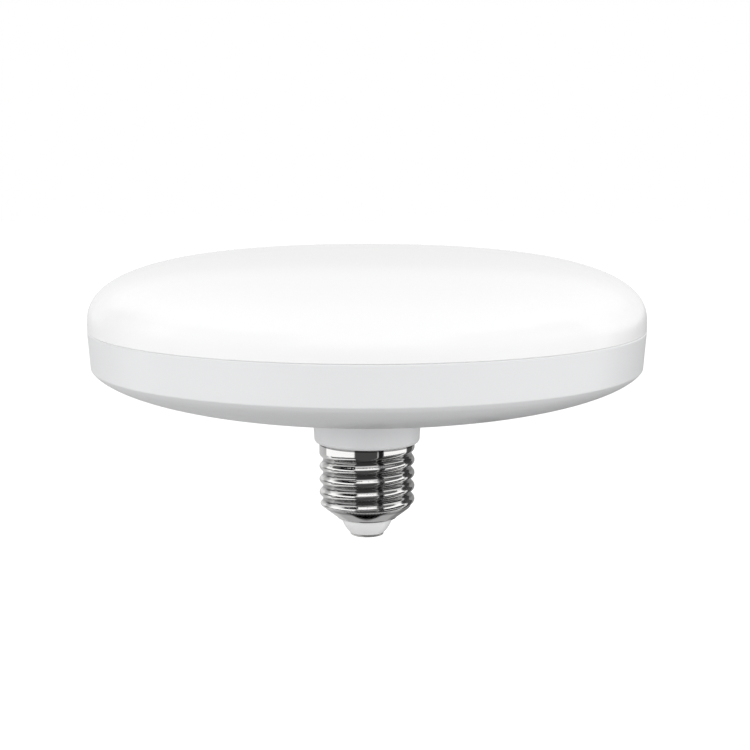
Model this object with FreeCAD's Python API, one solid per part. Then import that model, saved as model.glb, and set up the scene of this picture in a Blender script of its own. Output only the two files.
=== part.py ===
import FreeCAD, Part
import math
import os

Vector = FreeCAD.Vector

# Lengths are in millimetres and angles in degrees. The lamp's axis is Z, the tip of its centre contact
# is at z = 0, and the light-giving disc is on top. The room side of the photograph is -Y.

# Screw cap: standard 26.2 mm knuckle thread, right-hand, rolled into thin sheet
cap_height = 25.9
thread_pitch = 3.629
thread_crest_radius = 13.1
thread_depth = 1.05
groove_top_drop = 1.95
groove_top_angle = 30.0
groove_bottom_angle = -1500.0
groove_run_out = 32.0
shell_sheet = 0.3
band_length = 1.1
shoulder_height = 9.0
shoulder_bulge = 0.1
lip_height = 4.9
lip_radius = 7.2
lip_land = 0.7
joint_height = 6.4
thread_columns = 24
rows_per_pitch = 12

# Insulator and centre contact
contact_head_radius = 4.6
contact_head_height = 0.75
contact_edge_round = 0.35
contact_stem_radius = 1.4
contact_collar_radius = 2.3
contact_collar_height = 0.6
insulator_height = 6.2
insulator_bulge = 0.3
cap_clearance = 0.05

# Disc: outer form of the housing
disc_radius = 75.0
housing_height = 32.2
wall_taper = 0.076
bowl_centre_drop = 8.0
bowl_depth = 15.34
corner_round = 0.5
rim_round = 0.45
neck_step = 1.3
neck_taper = 0.06
neck_root_round = 2.6
neck_foot_round = 1.25

# Housing: inner form
housing_wall = 2.0
ledge_width = 1.6
neck_wall = 2.2
neck_floor = 1.2
spigot_land_length = 1.0
spigot_clearance = 0.15
spigot_wall = 1.5
spigot_end_rise = 0.8
rib_count = 6
rib_width = 1.2
rib_start_radius = 22.0
rib_end_inset = 5.0
rib_root = 0.8
boss_radius = 3.2
boss_count = 3
boss_first_angle = 45.0
pilot_depth_spare = 0.4
guide_rib_width = 0.9
guide_rib_rise = 4.9
guide_rib_reach = 1.5

# Diffuser
crown_rise = 18.65
crown_side_power = 3.126
crown_top_power = 2.526
crown_points = 18
lip_wall_height = 1.7
diffuser_inset = 0.05
diffuser_wall = 1.8
diffuser_bevel = 0.12
skirt_wall = 1.4
skirt_length = 3.9
skirt_shoulder = 0.6
skirt_clearance = 0.1
hook_count = 6
hook_angle = 12.0
hook_depth = 0.45
hook_height = 1.3
hook_flat = 0.6
hook_drop = 2.3
pocket_clearance = 0.1

# Heat dish, LED board and its pieces
dish_depth = 2.0
dish_sheet = 1.0
dish_wall_inset = 3.5
dish_clearance = 0.4
dish_hole_radius = 8.0
dish_bend = 0.5
board_edge_gap = 2.5
board_thickness = 1.2
board_hole_radius = 6.0
chip_ring_count = 3
chip_ring_step_count = 8
first_ring_radius = 20.0
last_ring_inset = 10.0
chip_length = 3.5
chip_width = 2.8
chip_height = 0.7
chip_recess = 0.15
chip_wall = 0.4
screw_radius = 1.5
screw_length = 8.0
screw_head_radius = 2.8
screw_head_height = 1.9
screw_head_round = 0.9
screw_slot_width = 0.7
screw_slot_depth = 1.0
screw_clearance = 0.2
pilot_clearance = 0.05
terminal_width = 7.0
terminal_length = 6.0
terminal_height = 3.2
terminal_distance = 7.5
terminal_entry_radius = 0.7
terminal_entry_depth = 2.0

# Driver board, upright in the plane y = 0
driver_thickness = 1.6
driver_foot_gap = 0.9
driver_foot_rise = 1.2
driver_head_width = 34.0
driver_head_gap = 0.55
driver_top_gap = 0.2
driver_clearance = 0.15
driver_seat_gap = 0.1
driver_stop_height = 1.0
stand_off = 0.1
pin_radius = 0.3
pin_hole_clearance = 0.1
pin_length = 1.2
pin_bend = 0.8

# Pieces on the driver board: places along X. The upper ones have heights over the inductor's middle, and
# the lower ones over the foot of the board.
can_floor_gap = 0.57
can_roof_gap = 0.25
can_round = 0.6
can_pin_spacing = 3.5
bulk_length = 15.0
bulk_x = -11.6
output_step = 1.0
output_length = 12.0
output_x = 11.6
inductor_x = 0.5
core_roof_gap = 0.55
core_width = 10.6
core_height = 9.4
core_depth = 5.0
core_yoke = 1.9
core_leg_radius = 1.9
core_leg_width = 1.6
bobbin_wall = 0.5
bobbin_base = 1.5
bobbin_base_width = 7.0
winding_radius = 3.3
coil_clearance = 0.05
choke_film_gap = 0.6
choke_rib_gap = 0.6
choke_radius = 3.7
choke_bore_gap = 0.25
choke_flange = 1.0
choke_waist_radius = 1.8
choke_winding_radius = 3.2
varistor_neck_distance = 7.2
varistor_height = -10.95
varistor_radius = 3.6
varistor_thickness = 3.4
varistor_round = 1.2
varistor_pin_spacing = 5.0
film_near_x = -1.9
film_rib_gap = 1.5
film_height = 5.9
film_depth = 5.0
film_tall = 8.0
film_round = 0.8
film_pin_spacing = 5.0
fuse_rib_gap = 1.5
fuse_height = 6.9
fuse_radius = 1.5
fuse_length = 8.0
fuse_cap_length = 1.6
fuse_waist_radius = 1.25
fuse_pin_spacing = 11.0
leg_width = 0.45
leg_thickness = 0.2
leg_reach = 0.9
driver_chip_x = -4.6
driver_chip_height = 2.05
driver_chip_size = (4.9, 1.5, 3.9)
driver_chip_legs = (-1.9, -0.63, 0.63, 1.9)
rectifier_x = 0.0
rectifier_height = 8.4
rectifier_size = (4.7, 1.5, 4.0)
rectifier_legs = (-1.3, 1.3)
diode_x = 7.0
diode_height = 1.55
diode_size = (2.6, 2.1, 4.3)
diode_legs = (0.0,)
resistor_size = (3.2, 0.6, 1.6)
resistor_places = ((-9.5, 3.5), (-9.5, 0.5), (-9.5, -2.5), (12.0, 3.0), (12.0, 0.0), (2.6, -3.5),
                   (0.0, -14.5))

# Leads
wire_radius = 0.5
wire_bend = 1.0
wire_rise_distance = 2.8
wire_pad_height = 3.9
live_wire_x = -2.6
live_wire_drop = 1.2
neutral_wire_rib_gap = 2.2
neutral_wire_radius = 0.35
neutral_wire_drop = 0.6
neutral_wire_rise = 3.2
neutral_groove_radius = 0.55
neutral_wire_inset = 0.4
lead_middle_x = 1.2
lead_spacing = 2.4
lead_pad_height = 1.05

# Levels and radii that follow from the sizes above
seam_height = cap_height + housing_height
bowl_centre = seam_height - bowl_centre_drop
dish_floor_bottom = bowl_centre - dish_depth
board_bottom = dish_floor_bottom + dish_sheet
board_top = board_bottom + board_thickness
body_inner_radius = disc_radius - housing_wall
bowl_inner_radius = body_inner_radius - ledge_width
bowl_inner_depth = bowl_depth - housing_wall
neck_radius = thread_crest_radius + neck_step
neck_bore = neck_radius - neck_wall
neck_floor_height = cap_height + neck_floor
band_inner_radius = thread_crest_radius - shell_sheet
spigot_radius = thread_crest_radius - thread_depth - shell_sheet - spigot_clearance
spigot_bore = spigot_radius - spigot_wall
spigot_end_height = shoulder_height + spigot_end_rise
thread_top = cap_height - band_length
groove_top_height = thread_top - groove_top_drop
groove_arc = ((thread_pitch / 2) ** 2 + thread_depth ** 2) / (4 * thread_depth)
skirt_radius = body_inner_radius - skirt_clearance
hook_top = seam_height - hook_drop
dish_floor_radius = body_inner_radius - dish_wall_inset
board_radius = dish_floor_radius - dish_sheet - board_edge_gap
last_ring_radius = board_radius - last_ring_inset
ring_spacing = (last_ring_radius - first_ring_radius) / (chip_ring_count - 1)
boss_circle_radius = last_ring_radius - ring_spacing / 2
rib_end_radius = body_inner_radius - rib_end_inset
guide_rib_top = neck_floor_height + guide_rib_rise
guide_rib_inner_radius = spigot_bore - guide_rib_reach
lead_level = board_top + terminal_height / 2


def bowl_floor(radius):
    # Height of the bowl's inner face at a distance from the axis
    return bowl_centre - bowl_inner_depth * math.sqrt(1 - (radius / bowl_inner_radius) ** 2)


driver_face = driver_thickness / 2
driver_top = dish_floor_bottom - driver_top_gap
driver_foot_height = spigot_end_height + driver_foot_rise
driver_foot_width = 2 * (spigot_bore - driver_foot_gap)
driver_head_height = bowl_floor(driver_head_width / 2) + driver_head_gap
can_floor = bowl_floor(math.hypot(bulk_x, driver_face + stand_off + bulk_length)) + can_floor_gap
can_roof = dish_floor_bottom - can_roof_gap
bulk_radius = (can_roof - can_floor) / 2
output_radius = bulk_radius - output_step
can_row = can_floor + bulk_radius
core_row = dish_floor_bottom - core_roof_gap - core_height / 2
choke_x = guide_rib_inner_radius - choke_rib_gap - choke_radius
choke_height = film_height + film_tall / 2 + choke_film_gap + choke_radius
choke_near = driver_face + stand_off
choke_far = math.sqrt((spigot_bore - choke_bore_gap) ** 2 - (choke_x + choke_radius) ** 2)
varistor_x = varistor_neck_distance - neck_bore
film_far_x = guide_rib_inner_radius - film_rib_gap
film_width = film_far_x - film_near_x
film_x = (film_near_x + film_far_x) / 2
fuse_x = fuse_radius + fuse_rib_gap - guide_rib_inner_radius
neutral_wire_x = guide_rib_inner_radius - neutral_wire_rib_gap
live_wire_turn_height = spigot_end_height - live_wire_drop
neutral_wire_turn_height = spigot_end_height - neutral_wire_drop
neutral_wire_top = spigot_end_height + neutral_wire_rise


def vec(radius, height):
    return Vector(radius, 0, height)


def line(start, end):
    return Part.LineSegment(start, end).toShape()


def arc(start, through, end):
    return Part.Arc(start, through, end).toShape()


def outline(*points):
    # Closed polygon in the radius-height plane
    corners = [vec(*p) for p in points]
    return Part.makePolygon(corners + corners[:1])


def turned(wire):
    return Part.Face(wire).revolve(Vector(0, 0, 0), Vector(0, 0, 1), 360)


def rod(radius, low, high, x=0.0, y=0.0):
    return Part.makeCylinder(radius, high - low, Vector(x, y, low))


def peg(radius, x, z, near, far):
    # Cylinder along Y from y = near to y = far
    toward = Vector(0, math.copysign(1, far - near), 0)
    return Part.makeCylinder(radius, abs(far - near), Vector(x, near, z), toward)


def block(low, high):
    size = [b - a for a, b in zip(low, high)]
    return Part.makeBox(*size, Vector(*low))


def spun(shape, angle):
    copy = shape.copy()
    copy.rotate(Vector(0, 0, 0), Vector(0, 0, 1), angle)
    return copy


def ring_edges(shape, test):
    # Whole circles about the lamp's axis whose radius and height pass a test
    found = []
    for edge in shape.Edges:
        curve = edge.Curve
        if not isinstance(curve, Part.Circle):
            continue
        if math.hypot(curve.Center.x, curve.Center.y) > 1e-6:
            continue
        if test(curve.Radius, curve.Center.z):
            found.append(edge)
    return found


def save(shape, name):
    shape.exportStep(f"parts/{name}.step")


# Screw shell

def shoulder_radius(height):
    # Blank of the shell before rolling: a cylinder that runs into a slightly crowned cone
    if height >= shoulder_height:
        return thread_crest_radius
    share = (shoulder_height - height) / (shoulder_height - lip_height)
    straight = thread_crest_radius - share * (thread_crest_radius - lip_radius - lip_land)
    return straight + 4 * shoulder_bulge * share * (1 - share)


def fade(degrees_inside):
    share = min(1.0, max(0.0, degrees_inside / groove_run_out))
    return share * share * (3 - 2 * share)


def groove_share(offset):
    # Knuckle thread: two equal arcs meet halfway up the flank; 1 at the groove's floor, 0 at the crest
    across = abs(offset) * thread_pitch
    if across <= thread_pitch / 4:
        return 1 - (groove_arc - math.sqrt(groove_arc ** 2 - across ** 2)) / thread_depth
    rest = max(0.0, thread_pitch / 2 - across)
    return (groove_arc - math.sqrt(groove_arc ** 2 - rest ** 2)) / thread_depth


def shell_radius(angle, height):
    # Outer face of the rolled shell; a right-hand groove rises as the angle grows
    turn = round((height - groove_top_height) / thread_pitch - angle / 360)
    along = angle + 360 * turn
    offset = (height - groove_top_height) / thread_pitch - along / 360
    depth = thread_depth * fade(groove_top_angle - along) * fade(along - groove_bottom_angle)
    return min(shoulder_radius(height), thread_crest_radius - depth * groove_share(offset))


def rolled_faces(inward):
    # Even spline over a net of poles, quintic around and cubic upwards, cut into two half turns.
    # Its poles stand a little outside the circle that it draws.
    step = 360 / thread_columns
    rows = round((thread_top - joint_height) / thread_pitch * rows_per_pitch)
    swell = 120 / (66 + 52 * math.cos(math.radians(step)) + 2 * math.cos(math.radians(2 * step)))
    poles = []
    for column in range(thread_columns):
        angle = (column - 2) * step
        cosine = math.cos(math.radians(angle))
        sine = math.sin(math.radians(angle))
        upwards = []
        for row in range(rows + 1):
            height = joint_height + (thread_top - joint_height) * row / rows
            if row in (0, rows):
                radius = shoulder_radius(height)
                slope = end_slope(height)
            else:
                radius = shell_radius(angle, height)
                slope = thread_slope(angle, height)
            length = math.hypot(1, slope)
            radius -= inward / length
            height += inward * slope / length
            upwards.append(Vector(radius * swell * cosine, radius * swell * sine, height))
        poles.append(upwards)
    around = [1] * (thread_columns + 1)
    up = [4] + [1] * (rows - 3) + [4]
    surface = Part.BSplineSurface()
    surface.buildFromPolesMultsKnots(
        poles, around, up, list(range(thread_columns + 1)), list(range(rows - 1)), True, False, 5, 3
    )
    half = thread_columns / 2
    return [surface.toShape(0, half, 0, rows - 2), surface.toShape(half, 2 * half, 0, rows - 2)]


def thread_slope(angle, height):
    probe = 0.02
    return (shell_radius(angle, height + probe) - shell_radius(angle, height - probe)) / (2 * probe)


def end_slope(height):
    if height >= shoulder_height:
        return 0.0
    probe = 0.001
    return (shoulder_radius(height + probe) - shoulder_radius(height - probe)) / (2 * probe)


def sheet_point(height, inward):
    slope = end_slope(height)
    length = math.hypot(1, slope)
    return vec(shoulder_radius(height) - inward / length, height + inward * slope / length)


def crowned_cone(inward):
    # Cone below the thread, as one arc from the rolled part down to the turned-in lip
    bottom = lip_height + shell_sheet
    return arc(sheet_point(joint_height, inward), sheet_point((joint_height + bottom) / 2, inward),
               sheet_point(bottom, inward))


def screw_shell():
    outer_arc = crowned_cone(0)
    inner_arc = crowned_cone(shell_sheet)
    outer_foot = sheet_point(lip_height + shell_sheet, 0)
    inner_foot = sheet_point(lip_height + shell_sheet, shell_sheet)
    lip_top = vec(lip_radius, inner_foot.z)
    lip_low = vec(lip_radius, lip_height)
    bend = vec(outer_foot.x - shell_sheet, lip_height)
    middle = (outer_foot + bend) / 2 + Vector(shell_sheet, 0, -shell_sheet) * 0.2
    edges = [
        outer_arc,
        arc(outer_foot, middle, bend),
        line(bend, lip_low),
        line(lip_low, lip_top),
        line(lip_top, inner_foot),
        inner_arc,
    ]
    for radius in (thread_crest_radius, band_inner_radius):
        edges.append(line(vec(radius, thread_top), vec(radius, cap_height)))
    edges.append(line(vec(band_inner_radius, cap_height), vec(thread_crest_radius, cap_height)))
    faces = rolled_faces(0.0) + rolled_faces(shell_sheet)
    for edge in edges:
        for start in (0, 180):
            faces.append(spun(edge, start).revolve(Vector(0, 0, 0), Vector(0, 0, 1), 180))
    sewn = Part.Compound(faces)
    sewn.sewShape()
    solid = Part.Solid(sewn.Shells[0]).removeSplitter()
    if solid.Volume < 0:
        solid.reverse()
    return solid


# Insulator and centre contact

def cap_insulator():
    hole = contact_stem_radius + cap_clearance
    neck = lip_radius - cap_clearance
    low = vec(contact_head_radius + 0.2, contact_head_height)
    high = vec(neck, lip_height)
    across = (high - low).normalize()
    bulge = Vector(across.z, 0, -across.x) * insulator_bulge
    inset = shell_sheet + cap_clearance
    foot = sheet_point(lip_height + shell_sheet, inset)
    top = sheet_point(insulator_height - 0.2, inset)
    middle = sheet_point((lip_height + shell_sheet + insulator_height - 0.2) / 2, inset)
    wire = Part.Wire([
        line(vec(hole, contact_head_height), low),
        arc(low, (low + high) / 2 + bulge, high),
        line(high, vec(neck, foot.z)),
        line(vec(neck, foot.z), foot),
        arc(foot, middle, top),
        line(top, vec(hole, top.z)),
        line(vec(hole, top.z), vec(hole, contact_head_height)),
    ])
    return turned(wire)


def insulator_top():
    return sheet_point(insulator_height - 0.2, shell_sheet + cap_clearance).z


def centre_contact():
    rest = insulator_top()
    head = rod(contact_head_radius, 0, contact_head_height)
    head = head.makeFillet(contact_edge_round, ring_edges(head, lambda r, z: z < 1e-6))
    stem = rod(contact_stem_radius, contact_head_height / 2, rest + contact_collar_height / 2)
    collar = rod(contact_collar_radius, rest, rest + contact_collar_height)
    collar = collar.makeFillet(contact_collar_height / 2, ring_edges(collar, lambda r, z: z > rest + 1e-6))
    return head.fuse([stem, collar]).removeSplitter()


# Housing

def bowl_crossing(radius, height, slope):
    # Where a line of the radius-height plane meets the bowl's outer ellipse, below its centre
    start = radius - slope * height
    square = slope ** 2 / disc_radius ** 2 + 1 / bowl_depth ** 2
    single = 2 * start * slope / disc_radius ** 2 - 2 * bowl_centre / bowl_depth ** 2
    rest = start ** 2 / disc_radius ** 2 + bowl_centre ** 2 / bowl_depth ** 2 - 1
    height = (-single - math.sqrt(single ** 2 - 4 * square * rest)) / (2 * square)
    return vec(start + slope * height, height)


def bowl_arc(radius, depth, outer, inner):
    # Part of a lower quarter ellipse between two of its points
    centre = vec(0, bowl_centre)
    ellipse = Part.Ellipse(vec(radius, bowl_centre), vec(0, bowl_centre - depth), centre)
    angles = [math.atan2((bowl_centre - p.z) / depth, p.x / radius) for p in (outer, inner)]
    return Part.ArcOfEllipse(ellipse, *angles).toShape()


def housing_outside():
    land_radius = band_inner_radius - cap_clearance
    land_low = cap_height - spigot_land_length
    wall_foot = bowl_crossing(disc_radius, seam_height, wall_taper)
    neck_head = bowl_crossing(neck_radius, cap_height, neck_taper)
    corners = [
        vec(0, seam_height), vec(0, spigot_end_height), vec(spigot_radius, spigot_end_height),
        vec(spigot_radius, land_low), vec(land_radius, land_low), vec(land_radius, cap_height),
        vec(neck_radius, cap_height), neck_head,
    ]
    edges = [line(a, b) for a, b in zip(corners, corners[1:])]
    edges.append(bowl_arc(disc_radius, bowl_depth, wall_foot, neck_head))
    edges.append(line(wall_foot, vec(disc_radius, seam_height)))
    edges.append(line(vec(disc_radius, seam_height), vec(0, seam_height)))
    body = turned(Part.Wire(Part.__sortEdges__(edges)))
    for size, place in (
        (neck_root_round, neck_head),
        (corner_round, wall_foot),
        (rim_round, vec(disc_radius, seam_height)),
        (neck_foot_round, vec(neck_radius, cap_height)),
    ):
        here = ring_edges(body, lambda r, z: math.hypot(r - place.x, z - place.z) < 0.01)
        body = body.makeFillet(size, here)
    return body


def housing_cavity(grown=0.0):
    bowl_radius = bowl_inner_radius + grown
    depth = bowl_inner_depth + grown
    neck = neck_bore + grown
    bore = spigot_bore + grown
    neck_head = vec(neck, bowl_centre - depth * math.sqrt(1 - (neck / bowl_radius) ** 2))
    floor = neck_floor_height - grown
    corners = [
        vec(bowl_radius, bowl_centre), vec(body_inner_radius, bowl_centre),
        vec(body_inner_radius, seam_height + 1), vec(0, seam_height + 1), vec(0, spigot_end_height - 1),
        vec(bore, spigot_end_height - 1), vec(bore, floor), vec(neck, floor), neck_head,
    ]
    edges = [line(a, b) for a, b in zip(corners, corners[1:])]
    edges.append(bowl_arc(bowl_radius, depth, corners[0], neck_head))
    return turned(Part.Wire(Part.__sortEdges__(edges)))


def boss_angles():
    return [boss_first_angle + 360 * n / boss_count for n in range(boss_count)]


def hook_angles():
    return [360 * (n + 0.5) / hook_count for n in range(hook_count)]


def pocket(angle):
    spare = pocket_clearance
    low = hook_top - hook_height - spare
    far = body_inner_radius + hook_depth + spare
    wide = hook_angle + 2 * math.degrees(spare / body_inner_radius)
    face = Part.Face(outline(
        (skirt_radius - 1, low), (far, low), (far, hook_top + spare), (skirt_radius - 1, hook_top + spare)
    ))
    return spun(face, angle - wide / 2).revolve(Vector(0, 0, 0), Vector(0, 0, 1), wide)


def housing():
    outside = housing_outside()
    inner = []
    for n in range(rib_count):
        rib = block((rib_start_radius, -rib_width / 2, 0), (rib_end_radius, rib_width / 2, dish_floor_bottom))
        inner.append(spun(rib, 360 * n / rib_count))
    for angle in boss_angles():
        inner.append(spun(rod(boss_radius, 0, dish_floor_bottom, boss_circle_radius), angle))
    gap = driver_face + driver_clearance
    stop_top = driver_foot_height - driver_seat_gap
    for side in (0, 180):
        for y in (-gap - guide_rib_width, gap):
            guide = block((guide_rib_inner_radius, y, stop_top - driver_stop_height),
                          (neck_radius, y + guide_rib_width, guide_rib_top))
            inner.append(spun(guide, side))
        stop = block((guide_rib_inner_radius, -gap, stop_top - driver_stop_height),
                     (neck_radius, gap, stop_top))
        inner.append(spun(stop, side))
    body = outside.cut(housing_cavity())
    inner = housing_cavity(rib_root).common(Part.Compound(inner))
    body = body.fuse(inner.Solids)
    cuts = [pocket(angle) for angle in hook_angles()]
    pilot_low = board_top - screw_length - pilot_depth_spare
    for angle in boss_angles():
        pilot = rod(screw_radius + pilot_clearance, pilot_low, dish_floor_bottom + 1, boss_circle_radius)
        cuts.append(spun(pilot, angle))
    groove_radius = spigot_radius - neutral_wire_inset + cap_clearance
    groove = rod(neutral_groove_radius, spigot_end_height - 1, neutral_wire_top + 0.5, groove_radius)
    cuts.append(spun(groove, neutral_angle()))
    return body.cut(cuts).removeSplitter().Solids[0]


# Diffuser

def crown(radius, rise):
    # Half of a rounded crown in the radius-height plane, from its top to its edge
    base = seam_height + lip_wall_height
    points = []
    for n in range(crown_points + 1):
        angle = math.radians(90 * n / crown_points)
        out = max(0.0, math.sin(angle)) ** (2 / crown_side_power)
        up = max(0.0, math.cos(angle)) ** (2 / crown_top_power)
        points.append(vec(radius * out, base + rise * up))
    points[-1] = vec(radius, base)
    curve = Part.BSplineCurve()
    curve.interpolate(Points=points, InitialTangent=Vector(1, 0, 0), FinalTangent=Vector(0, 0, -1))
    return curve.toShape()


def diffuser():
    base = seam_height + lip_wall_height
    edge = disc_radius - diffuser_inset
    inner_edge = edge - diffuser_wall
    low = seam_height - skirt_length
    edges = [crown(edge, crown_rise), crown(inner_edge, crown_rise - diffuser_wall)]
    corners = [
        vec(edge, base), vec(edge, seam_height + diffuser_bevel), vec(edge - diffuser_bevel, seam_height),
        vec(skirt_radius, seam_height), vec(skirt_radius, low), vec(skirt_radius - skirt_wall, low),
        vec(skirt_radius - skirt_wall, seam_height + skirt_shoulder), vec(inner_edge, base),
    ]
    edges += [line(a, b) for a, b in zip(corners, corners[1:])]
    edges.append(line(vec(0, base + crown_rise - diffuser_wall), vec(0, base + crown_rise)))
    shell = turned(Part.Wire(Part.__sortEdges__(edges)))
    root = skirt_radius - skirt_wall / 2
    far = body_inner_radius + hook_depth
    hook = Part.Face(outline(
        (root, hook_top), (far, hook_top), (far, hook_top - hook_flat),
        (skirt_radius, hook_top - hook_height), (root, hook_top - hook_height)
    ))
    hooks = []
    for angle in hook_angles():
        hooks.append(spun(hook, angle - hook_angle / 2).revolve(Vector(0, 0, 0), Vector(0, 0, 1), hook_angle))
    return shell.fuse(hooks).removeSplitter().Solids[0]


# Heat dish and LED board

def heat_dish():
    low = dish_floor_bottom
    floor = low + dish_sheet
    flange = bowl_centre + dish_sheet
    edge = body_inner_radius - dish_clearance
    wall = dish_floor_radius
    dish = turned(outline(
        (dish_hole_radius, low), (wall, low), (wall, bowl_centre), (edge, bowl_centre), (edge, flange),
        (wall - dish_sheet, flange), (wall - dish_sheet, floor), (dish_hole_radius, floor)
    ))
    bends = ring_edges(dish, lambda r, z: wall - dish_sheet - 0.01 < r < wall + 0.01)
    dish = dish.makeFillet(dish_bend, bends)
    return dish.cut(screw_holes())


def screw_holes():
    radius = screw_radius + screw_clearance
    hole = rod(radius, dish_floor_bottom - 1, board_top + 1, boss_circle_radius)
    return [spun(hole, angle) for angle in boss_angles()]


def led_board():
    board = rod(board_radius, board_bottom, board_top)
    return board.cut([rod(board_hole_radius, board_bottom - 1, board_top + 1)] + screw_holes())


def led_chips():
    chips = []
    for ring in range(chip_ring_count):
        radius = first_ring_radius + ring * ring_spacing
        count = chip_ring_step_count * (ring + 1)
        for n in range(count):
            low = (radius - chip_length / 2, -chip_width / 2, board_top)
            high = (radius + chip_length / 2, chip_width / 2, board_top + chip_height)
            well_low = (low[0] + chip_wall, low[1] + chip_wall, high[2] - chip_recess)
            well_high = (high[0] - chip_wall, high[1] - chip_wall, high[2] + 1)
            chips.append(spun(block(low, high).cut(block(well_low, well_high)), 360 * n / count))
    return Part.Compound(chips)


def board_screws():
    top = board_top + screw_head_height
    head = rod(screw_head_radius, board_top, top, boss_circle_radius)
    rounded = [e for e in head.Edges if isinstance(e.Curve, Part.Circle) and e.Curve.Center.z > top - 0.01]
    head = head.makeFillet(screw_head_round, rounded)
    screw = head.fuse(rod(screw_radius, board_top - screw_length, board_top + 0.5, boss_circle_radius))
    reach = screw_head_radius * 0.6
    half = screw_slot_width / 2
    low = top - screw_slot_depth
    along = block((boss_circle_radius - reach, -half, low), (boss_circle_radius + reach, half, top + 1))
    across = block((boss_circle_radius - half, -reach, low), (boss_circle_radius + half, reach, top + 1))
    screw = screw.cut([along, across]).removeSplitter().Solids[0]
    return Part.Compound([spun(screw, angle) for angle in boss_angles()])


def lead_places():
    return [lead_middle_x - lead_spacing / 2, lead_middle_x + lead_spacing / 2]


def wire_terminal():
    near = -terminal_distance
    body = block((lead_middle_x - terminal_width / 2, near - terminal_length, board_top),
                 (lead_middle_x + terminal_width / 2, near, board_top + terminal_height))
    entries = []
    for x in lead_places():
        entries.append(peg(terminal_entry_radius, x, lead_level, near + 1, near - terminal_entry_depth))
    return body.cut(entries)


# Driver board

def pin_places():
    # Where pins and wires pass through the driver board: place, height and radius
    places = []
    for x in (bulk_x, output_x):
        for side in (-0.5, 0.5):
            places.append((x, can_row + side * can_pin_spacing, pin_radius))
    for side in (-0.5, 0.5):
        places.append((varistor_x, core_row + varistor_height + side * varistor_pin_spacing, pin_radius))
        places.append((film_x + side * film_pin_spacing, driver_foot_height + film_height, pin_radius))
        places.append((fuse_x, driver_foot_height + fuse_height + side * fuse_pin_spacing, pin_radius))
    for x in lead_places():
        places.append((x, core_row + lead_pad_height, wire_radius))
    places.append((live_wire_x, driver_foot_height + wire_pad_height, wire_radius))
    places.append((neutral_wire_x, driver_foot_height + wire_pad_height, neutral_wire_radius))
    return places


def driver_board():
    foot = block((-driver_foot_width / 2, -driver_face, driver_foot_height),
                 (driver_foot_width / 2, driver_face, driver_top))
    head = block((-driver_head_width / 2, -driver_face, driver_head_height),
                 (driver_head_width / 2, driver_face, driver_top))
    board = foot.fuse(head).removeSplitter()
    return board.cut([peg(r + pin_hole_clearance, x, z, -2, 2) for x, z, r in pin_places()])


def pin(x, z, end):
    return peg(pin_radius, x, z, -driver_face - pin_length, end)


def capacitor_can(radius, length, x):
    near = driver_face + stand_off
    can = peg(radius, x, can_row, near, near + length)
    can = can.makeFillet(can_round, [e for e in can.Edges if isinstance(e.Curve, Part.Circle)])
    pins = [pin(x, can_row + side * can_pin_spacing, near + 1) for side in (-0.5, 0.5)]
    return can.fuse(pins)


def coil_axis():
    # Height above the board of the inductor's winding axis
    return driver_face + bobbin_base + winding_radius


def inductor_core():
    y = coil_axis()
    half = core_width / 2
    core = block((inductor_x - half, y - core_depth / 2, core_row - core_height / 2),
                 (inductor_x + half, y + core_depth / 2, core_row + core_height / 2))
    window = core_height / 2 - core_yoke
    clear = half - core_leg_width
    gap = block((inductor_x - clear, 0, core_row - window), (inductor_x + clear, 2 * y, core_row + window))
    leg = rod(core_leg_radius, core_row - window - 0.5, core_row + window + 0.5, inductor_x, y)
    return core.cut(gap).fuse(leg).removeSplitter()


def inductor_bobbin():
    y = coil_axis()
    end = core_height / 2 - core_yoke - coil_clearance
    bore = core_leg_radius + coil_clearance
    base = driver_face + bobbin_base
    tube = rod(bore + bobbin_wall, core_row - end, core_row + end, inductor_x, y)
    parts = []
    for low in (core_row - end, core_row + end - bobbin_wall):
        parts.append(rod(winding_radius + 0.2, low, low + bobbin_wall, inductor_x, y))
        parts.append(block((inductor_x - bobbin_base_width / 2, driver_face, low),
                           (inductor_x + bobbin_base_width / 2, base + 0.3, low + bobbin_wall)))
    parts.append(block((inductor_x - bobbin_base_width / 2, driver_face, core_row - end),
                       (inductor_x + bobbin_base_width / 2, base - coil_clearance, core_row + end)))
    bobbin = tube.fuse(parts).removeSplitter()
    return bobbin.cut(rod(bore, core_row - end - 1, core_row + end + 1, inductor_x, y))


def inductor_winding():
    y = coil_axis()
    end = core_height / 2 - core_yoke - 2 * coil_clearance - bobbin_wall
    tube = core_leg_radius + 2 * coil_clearance + bobbin_wall
    winding = rod(winding_radius, core_row - end, core_row + end, inductor_x, y)
    return winding.cut(rod(tube, core_row - end - 1, core_row + end + 1, inductor_x, y))


def choke_core():
    z = driver_foot_height + choke_height
    waist = peg(choke_waist_radius, choke_x, z, choke_near, choke_far)
    flanges = [peg(choke_radius, choke_x, z, choke_near, choke_near + choke_flange),
               peg(choke_radius, choke_x, z, choke_far - choke_flange, choke_far)]
    return waist.fuse(flanges).removeSplitter()


def choke_winding():
    z = driver_foot_height + choke_height
    near = choke_near + choke_flange + coil_clearance
    far = choke_far - choke_flange - coil_clearance
    winding = peg(choke_winding_radius, choke_x, z, near, far)
    return winding.cut(peg(choke_waist_radius + coil_clearance, choke_x, z, near - 1, far + 1))


def varistor():
    z = core_row + varistor_height
    y = driver_face + stand_off + varistor_radius
    low = Vector(varistor_x - varistor_thickness / 2, y, z)
    disc = Part.makeCylinder(varistor_radius, varistor_thickness, low, Vector(1, 0, 0))
    disc = disc.makeFillet(varistor_round, [e for e in disc.Edges if isinstance(e.Curve, Part.Circle)])
    return disc.fuse([pin(varistor_x, z + side * varistor_pin_spacing, y - 1) for side in (-0.5, 0.5)])


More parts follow.
